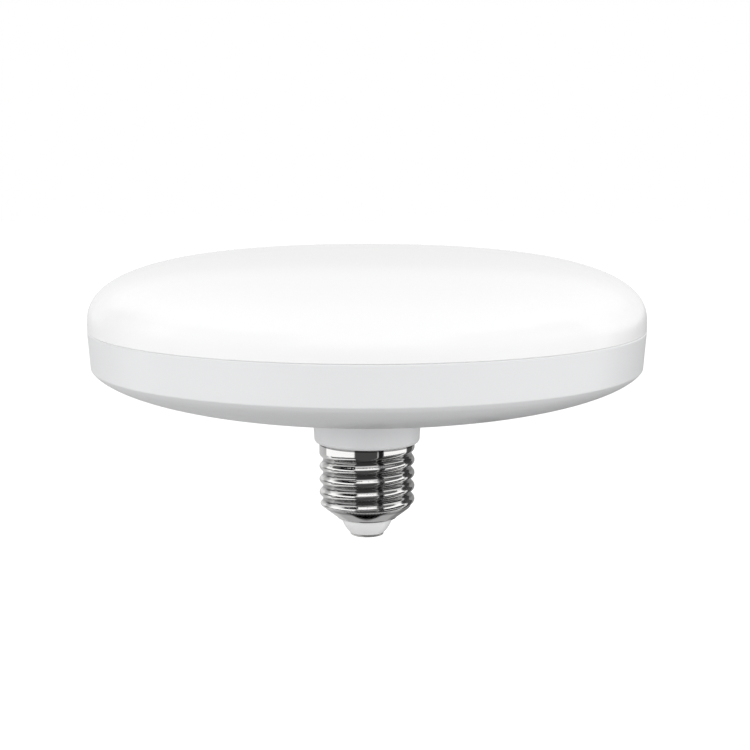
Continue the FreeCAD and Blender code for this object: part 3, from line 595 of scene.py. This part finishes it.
def joinRings(shape, rings):
    for ring, following in zip(rings, rings[1:]):
        for n in range(len(ring)):
            m = (n + 1) % len(ring)
            shape.faces.new((ring[n], ring[m], following[m], following[n]))


def closedTube(shape, rings):
    joinRings(shape, rings)
    shape.faces.new(rings[0])
    shape.faces.new(rings[-1])


def turnsOf(count):
    return [2 * math.pi * n / count for n in range(count)]


# Windings: one enamelled wire laid in layers, back and forth

enamelLook = {"colour": (0.62, 0.25, 0.09), "roughness": 0.26, "unevenness": 0.14, "grain": 0.25, "bump": 0.04}
coils = {
    "inductorCoil": {"node": "inductor_winding", "axis": "Z", "bore": 0.00252, "wire": 0.00024, "layers": 3},
    "chokeCoil": {"node": "choke_winding", "axis": "Y", "bore": 0.00187, "wire": 0.00031, "layers": 4},
}
winding = {"perTurn": 24, "sides": 6, "turnPitch": 1.04, "layerPitch": 0.98, "liftTurns": 1 / 3, "smoothAngle": 60}


def windWire(coil, length):
    # Turn, radius and height along the axis of each point of the wire
    wire, perTurn = coil["wire"], winding["perTurn"]
    turnsPerLayer = int((length - wire) / (wire * winding["turnPitch"])) - 1
    rise = (length - wire) / turnsPerLayer
    steps = turnsPerLayer * perTurn
    points = []
    for layer in range(coil["layers"]):
        for step in range(steps):
            height = step / perTurn * rise
            height = height if layer % 2 == 0 else length - wire - height
            lift = min(step / (perTurn * winding["liftTurns"]), 1) if layer else 1
            radius = coil["bore"] + wire / 2 + (layer - 1 + lift) * wire * winding["layerPitch"]
            points.append(((layer * steps + step) * 2 * math.pi / perTurn, radius, height + wire / 2))
    return points


def buildCoil(name, coil, material):
    low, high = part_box(coil["node"])
    middle = (low + high) / 2
    upright = coil["axis"] == "Z"
    start, length = (low.z, high.z - low.z) if upright else (low.y, high.y - low.y)
    shape = bmesh.new()
    rings = []
    for turn, radius, height in windWire(coil, length):
        ring = []
        for angle in turnsOf(winding["sides"]):
            out = radius + coil["wire"] / 2 * math.cos(angle)
            along = start + height + coil["wire"] / 2 * math.sin(angle)
            a, b = out * math.cos(turn), out * math.sin(turn)
            place = (middle.x + a, middle.y + b, along) if upright else (middle.x + a, along, middle.z + b)
            ring.append(shape.verts.new(place))
        rings.append(ring)
    closedTube(shape, rings)
    piece = newPiece(name, shape, material, winding["smoothAngle"])
    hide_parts(coil["node"])


enamel = platedMaterial("copperEnamel", enamelLook)
for name, coil in coils.items():
    buildCoil(name, coil, enamel)
print("coils wound")


# Solder: a hollow-sided cone round each pin at the back of the driver board, and a fillet at both ends of each LED.
# Profiles are in metres, and the pins' places in millimetres across and up.

solderLook = {"colour": (0.7, 0.7, 0.69), "roughness": 0.2, "unevenness": 0.12, "grain": 0.3, "bump": 0.2}
pinSolder = {
    "segments": 14,
    "riseAndRadius": ((0.0, 0.00085), (0.0001, 0.00078), (0.0003, 0.00056), (0.0006, 0.0004), (0.00095, 0.00032)),
    "pins": ((-11.6, 41.12), (-11.6, 44.62), (11.6, 41.1), (11.6, 44.6), (-5.0, 29.4), (-5.0, 34.4),
             (0.1, 16.9), (5.1, 16.9), (-5.6, 12.4), (-5.6, 23.4), (0.0, 43.9), (2.4, 43.9),
             (-2.6, 14.9), (6.4, 14.9)),
}
ledSolder = {
    "counts": (8, 16, 24),
    "chipLength": 0.0035,
    "width": 0.0022,
    "taper": 250,
    "reachAndRise": ((-0.00005, 0.0), (0.0006, 0.0), (0.00045, 0.00004), (0.00022, 0.00012), (0.00008, 0.00026),
                     (0.0, 0.0004), (-0.00005, 0.0004)),
}


def buildPinSolder(material):
    shape = bmesh.new()
    for across, up in pinSolder["pins"]:
        rings = []
        for rise, radius in pinSolder["riseAndRadius"]:
            rings.append([shape.verts.new((across / 1000 + radius * math.cos(turn), -driverFace - rise,
                                           up / 1000 + radius * math.sin(turn)))
                          for turn in turnsOf(pinSolder["segments"])])
        closedTube(shape, rings)
    newPiece("driverSolder", shape, material)


def addFillet(shape, radius, turn, side, level):
    # Two end profiles of one fillet, which narrows away from the chip
    ends = []
    for half in (-ledSolder["width"] / 2, ledSolder["width"] / 2):
        profile = []
        for reach, rise in ledSolder["reachAndRise"]:
            out = radius + side * (ledSolder["chipLength"] / 2 + reach)
            across = half * (1 - ledSolder["taper"] * max(reach, 0))
            profile.append(shape.verts.new((out * math.cos(turn) - across * math.sin(turn),
                                            out * math.sin(turn) + across * math.cos(turn), level + rise)))
        ends.append(profile)
    closedTube(shape, ends)


def buildLedSolder(material):
    shape = bmesh.new()
    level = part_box("led_board")[1].z
    for radius, count in zip(ledBoardLook["ringRadii"], ledSolder["counts"]):
        for turn in turnsOf(count):
            for side in (-1, 1):
                addFillet(shape, radius, turn, side, level)
    newPiece("ledSolder", shape, material)


solder = platedMaterial("solder", solderLook)
buildPinSolder(solder)
buildLedSolder(solder)
print("solder placed")


# Tracks under the green mask, on the back of the driver board. Each run is its width and its places, in millimetres
# across and up, and each is a little higher than the last, so that crossing runs never share a face.

trackLook = {"colour": (0.06, 0.3, 0.13), "roughness": 0.3, "unevenness": 0.12, "grain": 0.5, "bump": 0.2}
tracks = {"height": 0.00004, "step": 0.000002, "sink": 0.00001, "widestMitre": 2, "smoothAngle": 30, "runs": (
    (1.0, ((-2.6, 14.9), (-2.6, 13.2), (-5.6, 12.4))),
    (1.0, ((-5.6, 23.4), (-1.3, 23.4), (-1.3, 22.0))),
    (1.0, ((6.4, 14.9), (6.4, 23.4), (1.3, 23.4), (1.3, 22.0))),
    (1.0, ((-1.3, 16.8), (-1.3, 15.6), (0.1, 15.6), (0.1, 16.9))),
    (1.0, ((1.3, 16.8), (5.1, 16.9))),
    (1.2, ((-1.3, 15.6), (-3.9, 17.0), (-3.9, 20.4), (-8.6, 25.0), (-8.6, 38.2), (-11.6, 41.1))),
    (1.2, ((5.1, 16.9), (8.6, 20.4), (8.6, 37.6), (11.6, 41.1))),
    (0.6, ((-5.0, 34.4), (-7.2, 36.6), (-7.2, 39.0))),
    (0.6, ((-5.0, 29.4), (-3.4, 28.35), (-1.4, 28.35))),
    (0.6, ((1.4, 28.35), (8.6, 28.35))),
    (0.5, ((-8.1, 40.35), (-6.5, 41.2), (-6.5, 42.4))),
    (0.5, ((-8.1, 43.35), (-7.4, 43.35))),
    (0.5, ((-11.6, 44.6), (-10.9, 46.35))),
    (0.5, ((-3.0, 42.4), (-3.0, 40.6), (1.1, 39.35))),
    (0.5, ((-8.1, 46.35), (-6.5, 47.3))),
    (0.8, ((0.0, 43.9), (-1.3, 45.2), (-2.7, 46.9))),
    (0.8, ((2.4, 43.9), (4.4, 43.9), (5.6, 42.0), (7.0, 41.8))),
    (0.8, ((7.0, 47.0), (9.6, 47.0), (11.6, 44.6))),
    (0.5, ((4.1, 39.35), (8.6, 37.6))),
)}


def trackEdges(width, run):
    # Points at both sides of the run, mitred at its corners
    points = [Vector((across, up)) / 1000 for across, up in run]
    edges = []
    for n, point in enumerate(points):
        before = (point - points[n - 1]).normalized() if n else (points[1] - point).normalized()
        after = (points[n + 1] - point).normalized() if n < len(points) - 1 else before
        middle = (before + after).normalized()
        mitre = 1 / max(middle.dot(after), 1 / tracks["widestMitre"])
        side = Vector((-middle.y, middle.x)) * width / 2000 * mitre
        edges.append((point - side, point + side))
    return edges


def buildTracks():
    shape = bmesh.new()
    for order, (width, run) in enumerate(tracks["runs"]):
        foot = -driverFace + tracks["sink"]
        top = -driverFace - tracks["height"] - order * tracks["step"]
        rings = []
        for right, left in trackEdges(width, run):
            rings.append([shape.verts.new((place.x, face, place.y))
                          for place, face in ((right, foot), (left, foot), (left, top), (right, top))])
        closedTube(shape, rings)
    newPiece("driverTracks", shape, mouldedMaterial("trackMask", trackLook), tracks["smoothAngle"])


buildTracks()
print("tracks laid")


# Lamps: soft panels that polished metal doesn't see

panels = {
    "frontPanel": {"place": (0, -2.6, 0.62), "width": 3.6, "height": 0.8, "power": 25.5},
    "leftPanel": {"place": (-2.2, 0.1, 0.45), "width": 1.6, "height": 0.8, "power": 10.0},
    "rightPanel": {"place": (2.2, 0.1, 0.45), "width": 1.6, "height": 0.8, "power": 10.0},
}


def addPanel(name, panel):
    lamp = bpy.data.lights.new(name, "AREA")
    lamp.shape = "RECTANGLE"
    lamp.size = panel["width"]
    lamp.size_y = panel["height"]
    lamp.energy = panel["power"]
    made = bpy.data.objects.new(name, lamp)
    made.location = panel["place"]
    made.rotation_euler = (Vector((0, 0, seamZ)) - made.location).to_track_quat("-Z", "Y").to_euler()
    made.visible_glossy = False
    scene.collection.objects.link(made)


for name, panel in panels.items():
    addPanel(name, panel)


# What polished metal sees of the studio, in degrees: azimuth from the camera side, then elevation. A later patch
# covers an earlier one.

room = {"fill": 0.83, "wallLevel": 1.08}
studioPatches = {
    "backWall": {"turn": 180, "half": 75, "low": -4, "high": 18, "soft": 3, "level": 0.86},
    "leftSide": {"turn": -150, "half": 42, "low": -100, "high": -2, "soft": 8, "level": 0.62},
    "leftFade": {"turn": -112, "half": 20, "low": -6, "high": 28, "soft": 20, "level": 0.2},
    "leftFarStrip": {"turn": -82, "half": 16, "low": -25, "high": 0, "soft": 5, "level": 0.07},
    "leftStrip": {"turn": -46, "half": 20, "low": -25, "high": -8, "soft": 5, "level": 0.14},
    "leftFlag": {"turn": -56, "half": 30, "low": -9.5, "high": 34, "soft": 3, "level": 0.01},
    "leftTable": {"turn": -74, "half": 48, "low": -46, "high": -25, "soft": 5, "level": 1.0},
    "leftFarFoot": {"turn": -97, "half": 28, "low": -100, "high": -47, "soft": 6, "level": 0.06},
    "leftFoot": {"turn": -45, "half": 25, "low": -100, "high": -47, "soft": 4, "level": 0.02},
    "leftBoard": {"turn": -71, "half": 44, "low": -13.4, "high": -9.7, "soft": 1.5, "level": 1.25},
    "cameraSide": {"turn": -2, "half": 28, "low": -100, "high": 20, "soft": 5, "level": 0.07},
    "cameraRight": {"turn": 34, "half": 7, "low": -100, "high": 24, "soft": 4, "level": 0.015},
    "rightStrip": {"turn": 64, "half": 25, "low": -19, "high": -8, "soft": 5, "level": 0.14},
    "rightFlag": {"turn": 70, "half": 31, "low": -9.5, "high": 34, "soft": 3, "level": 0.012},
    "rightTable": {"turn": 56, "half": 17, "low": -100, "high": -19, "soft": 5, "level": 0.05},
    "sideStrip": {"turn": 95, "half": 10, "low": -20, "high": 0, "soft": 6, "level": 0.16},
    "sideTable": {"turn": 85, "half": 13, "low": -100, "high": -20, "soft": 6, "level": 0.12},
    "rightLowBoard": {"turn": 75, "half": 34, "low": -13.4, "high": -9.7, "soft": 1.5, "level": 1.25},
    "rightGap": {"turn": 132, "half": 21, "low": -100, "high": -3, "soft": 6, "level": 0.045},
    "backRight": {"turn": 163, "half": 18, "low": -48, "high": -2, "soft": 6, "level": 0.26},
    "backTable": {"turn": 180, "half": 70, "low": -100, "high": -40, "soft": 8, "level": 0.46},
    "nearFoot": {"turn": 180, "half": 45, "low": -100, "high": -66, "soft": 4, "level": 0.36},
    "darkFoot": {"turn": 180, "half": 30, "low": -68.5, "high": -61, "soft": 2, "level": 0.0, "bend": 56},
}


def azimuth(tree, x, y):
    return mathNode(tree, "ARCTAN2", x, mathNode(tree, "MULTIPLY", y, -1.0))


def addPatch(tree, level, turn, rise, patch):
    # rise is an elevation or a radius; a bent patch drops away at its sides
    soft = patch["soft"] / 2
    aside = mathNode(tree, "COSINE", mathNode(tree, "SUBTRACT", turn, math.radians(patch["turn"])))
    if "bend" in patch:
        drop = mathNode(tree, "MULTIPLY", mathNode(tree, "SUBTRACT", 1.0, aside), patch["bend"])
        rise = mathNode(tree, "SUBTRACT", rise, drop)
    aside = mathNode(tree, "MULTIPLY", mathNode(tree, "ARCCOSINE", aside), math.degrees(1))
    mask = rampNode(tree, aside, patch["half"] - soft, patch["half"] + soft, 1, 0)
    above = rampNode(tree, rise, patch["low"] - soft, patch["low"] + soft, 0, 1)
    below = rampNode(tree, rise, patch["high"] - soft, patch["high"] + soft, 1, 0)
    mask = mathNode(tree, "MULTIPLY", mask, mathNode(tree, "MULTIPLY", above, below))
    return mixNode(tree, "FLOAT", mask, level, patch["level"])


def buildWorld():
    world = bpy.data.worlds.new("studio")
    scene.world = world
    world.use_nodes = True
    tree = world.node_tree
    tree.nodes.clear()
    path = addNode(tree, "ShaderNodeLightPath")
    place = addNode(tree, "ShaderNodeTexCoord")
    parts = addNode(tree, "ShaderNodeSeparateXYZ")
    tree.links.new(place.outputs["Generated"], parts.inputs[0])
    turn = azimuth(tree, parts.outputs["X"], parts.outputs["Y"])
    rise = mathNode(tree, "MULTIPLY", mathNode(tree, "ARCSINE", parts.outputs["Z"]), math.degrees(1))
    level = room["wallLevel"]
    for patch in studioPatches.values():
        level = addPatch(tree, level, turn, rise, patch)
    level = mixNode(tree, "FLOAT", path.outputs["Is Camera Ray"], level, 1.0)
    grey = addNode(tree, "ShaderNodeCombineColor")
    for channel in range(3):
        tree.links.new(level, grey.inputs[channel])
    seen = addNode(tree, "ShaderNodeBackground")
    tree.links.new(grey.outputs[0], seen.inputs["Color"])
    fill = addNode(tree, "ShaderNodeBackground")
    fill.inputs["Color"].default_value = (1, 1, 1, 1)
    fill.inputs["Strength"].default_value = room["fill"]
    shown = mathNode(tree, "MAXIMUM", path.outputs["Is Camera Ray"], path.outputs["Is Glossy Ray"])
    shown = mathNode(tree, "MAXIMUM", shown, path.outputs["Is Transmission Ray"])
    mix = addNode(tree, "ShaderNodeMixShader")
    tree.links.new(shown, mix.inputs[0])
    tree.links.new(fill.outputs[0], mix.inputs[1])
    tree.links.new(seen.outputs[0], mix.inputs[2])
    output = addNode(tree, "ShaderNodeOutputWorld")
    tree.links.new(mix.outputs[0], output.inputs["Surface"])


buildWorld()


# Cards and flags that only polished metal sees, from one side

def onlyInGloss(card):
    card.visible_camera = False
    card.visible_diffuse = False
    card.visible_transmission = False
    card.visible_shadow = False


def oneSidedGlow(name, levelOf):
    # levelOf builds the nodes of the brightness, or gives one number
    material = bpy.data.materials.new(name)
    material.use_nodes = True
    material.cycles.emission_sampling = "NONE"
    tree = material.node_tree
    tree.nodes.clear()
    glow = addNode(tree, "ShaderNodeEmission")
    feed(tree, levelOf(tree), glow.inputs["Strength"])
    facing = addNode(tree, "ShaderNodeNewGeometry")
    clear = addNode(tree, "ShaderNodeBsdfTransparent")
    mix = addNode(tree, "ShaderNodeMixShader")
    tree.links.new(facing.outputs["Backfacing"], mix.inputs[0])
    tree.links.new(glow.outputs[0], mix.inputs[1])
    tree.links.new(clear.outputs[0], mix.inputs[2])
    output = addNode(tree, "ShaderNodeOutputMaterial")
    tree.links.new(mix.outputs[0], output.inputs["Surface"])
    return material


# Glowing card under the disc, a painted reflection: the cap sees it in place of the disc's underside. Its patches
# are in degrees from the camera side and in millimetres from the axis.

underCard = {"innerRadius": 0.0165, "outerRadius": 0.066, "aboveHousingFoot": 0.0247, "level": 0.4, "segments": 64}
cardPatches = {
    "leftFar": {"turn": -145, "half": 50, "low": 0, "high": 90, "soft": 6, "level": 0.6},
    "leftSheet": {"turn": -67, "half": 42, "low": 27, "high": 90, "soft": 10, "level": 1.3},
    "leftFarNeck": {"turn": -92, "half": 26, "low": 0, "high": 26, "soft": 6, "level": 0.1},
    "leftNeck": {"turn": -47, "half": 22, "low": 0, "high": 26, "soft": 2, "level": 0.01},
    "middleSheet": {"turn": -2, "half": 27, "low": 25, "high": 38, "soft": 3, "level": 0.34},
    "middleRim": {"turn": -2, "half": 27, "low": 39, "high": 90, "soft": 4, "level": 0.06},
    "middleNeck": {"turn": -3, "half": 26, "low": 0, "high": 25, "soft": 2, "level": 1.3},
    "seamNeck": {"turn": 33, "half": 8, "low": 0, "high": 24, "soft": 3, "level": 0.1},
    "seamSheet": {"turn": 33, "half": 8, "low": 24, "high": 90, "soft": 3, "level": 0.02},
    "rightNeck": {"turn": 66, "half": 28, "low": 0, "high": 26, "soft": 2, "level": 0.14},
    "rightSheet": {"turn": 66, "half": 28, "low": 27, "high": 90, "soft": 3, "level": 1.3},
    "sideDark": {"turn": 122, "half": 27, "low": 0, "high": 47, "soft": 4, "level": 0.05},
    "sideRim": {"turn": 120, "half": 25, "low": 48, "high": 90, "soft": 4, "level": 0.3},
}


def cardLevel(tree):
    x, y, z = coordinates(tree)
    radius = mathNode(tree, "MULTIPLY", hypotenuse(tree, x, y), 1000.0)
    turn = azimuth(tree, x, y)
    level = underCard["level"]
    for patch in cardPatches.values():
        level = addPatch(tree, level, turn, radius, patch)
    return level


def buildUnderCard():
    shape = bmesh.new()
    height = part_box("housing")[0].z + underCard["aboveHousingFoot"]
    rings = []
    for radius in (underCard["innerRadius"], underCard["outerRadius"]):
        rings.append([shape.verts.new((radius * math.cos(turn), radius * math.sin(turn), height))
                      for turn in turnsOf(underCard["segments"])])
    joinRings(shape, rings)
    onlyInGloss(meshObject("underCard", shape, oneSidedGlow("underCardPaintedReflection", cardLevel)))


buildUnderCard()


# Glowing flags behind the cap on the right, painted reflections in the cap, with their start, end and level. They
# end below the disc, so only the cap sees them.

capFlags = {"radius": 0.041, "low": -0.004, "high": 0.033, "step": 3,
            "sheets": {"darkFlag": (98, 122, 0.08), "greyFlag": (122, 179, 0.33)}}


def buildCapFlag(name, start, end, level):
    shape = bmesh.new()
    columns = []
    for degrees in range(start, end + 1, capFlags["step"]):
        turn = math.radians(degrees)
        x, y = capFlags["radius"] * math.sin(turn), -capFlags["radius"] * math.cos(turn)
        columns.append([shape.verts.new((x, y, capFlags[edge])) for edge in ("low", "high")])
    for (a, b), (c, d) in zip(columns, columns[1:]):
        shape.faces.new((b, d, c, a))
    onlyInGloss(meshObject(name, shape, oneSidedGlow(name + "Cloth", lambda tree: level)))


for name, (start, end, level) in capFlags["sheets"].items():
    buildCapFlag(name, start, end, level)


# Floor: pale paper that the camera sees lifted towards white

floorPaper = {"size": 6.0, "height": -0.085, "tone": 0.46, "roughness": 0.9, "lift": 0.7}


def buildFloor():
    half = floorPaper["size"] / 2
    shape = bmesh.new()
    shape.faces.new([shape.verts.new((x * half, y * half, floorPaper["height"]))
                     for x, y in ((-1, -1), (1, -1), (1, 1), (-1, 1))])
    material, tree, shader = newMaterial("floorPaper", Base_Color=(*[floorPaper["tone"]] * 3, 1),
                                         Roughness=floorPaper["roughness"])
    path = addNode(tree, "ShaderNodeLightPath")
    lift = addNode(tree, "ShaderNodeEmission")
    tree.links.new(mathNode(tree, "MULTIPLY", path.outputs["Is Camera Ray"], floorPaper["lift"]),
                   lift.inputs["Strength"])
    both = addNode(tree, "ShaderNodeAddShader")
    tree.links.new(shader.outputs[0], both.inputs[0])
    tree.links.new(lift.outputs[0], both.inputs[1])
    tree.links.new(both.outputs[0], tree.nodes["Material Output"].inputs["Surface"])
    floor = meshObject("floor", shape, material)
    floor.visible_glossy = False


buildFloor()
print("room lit")
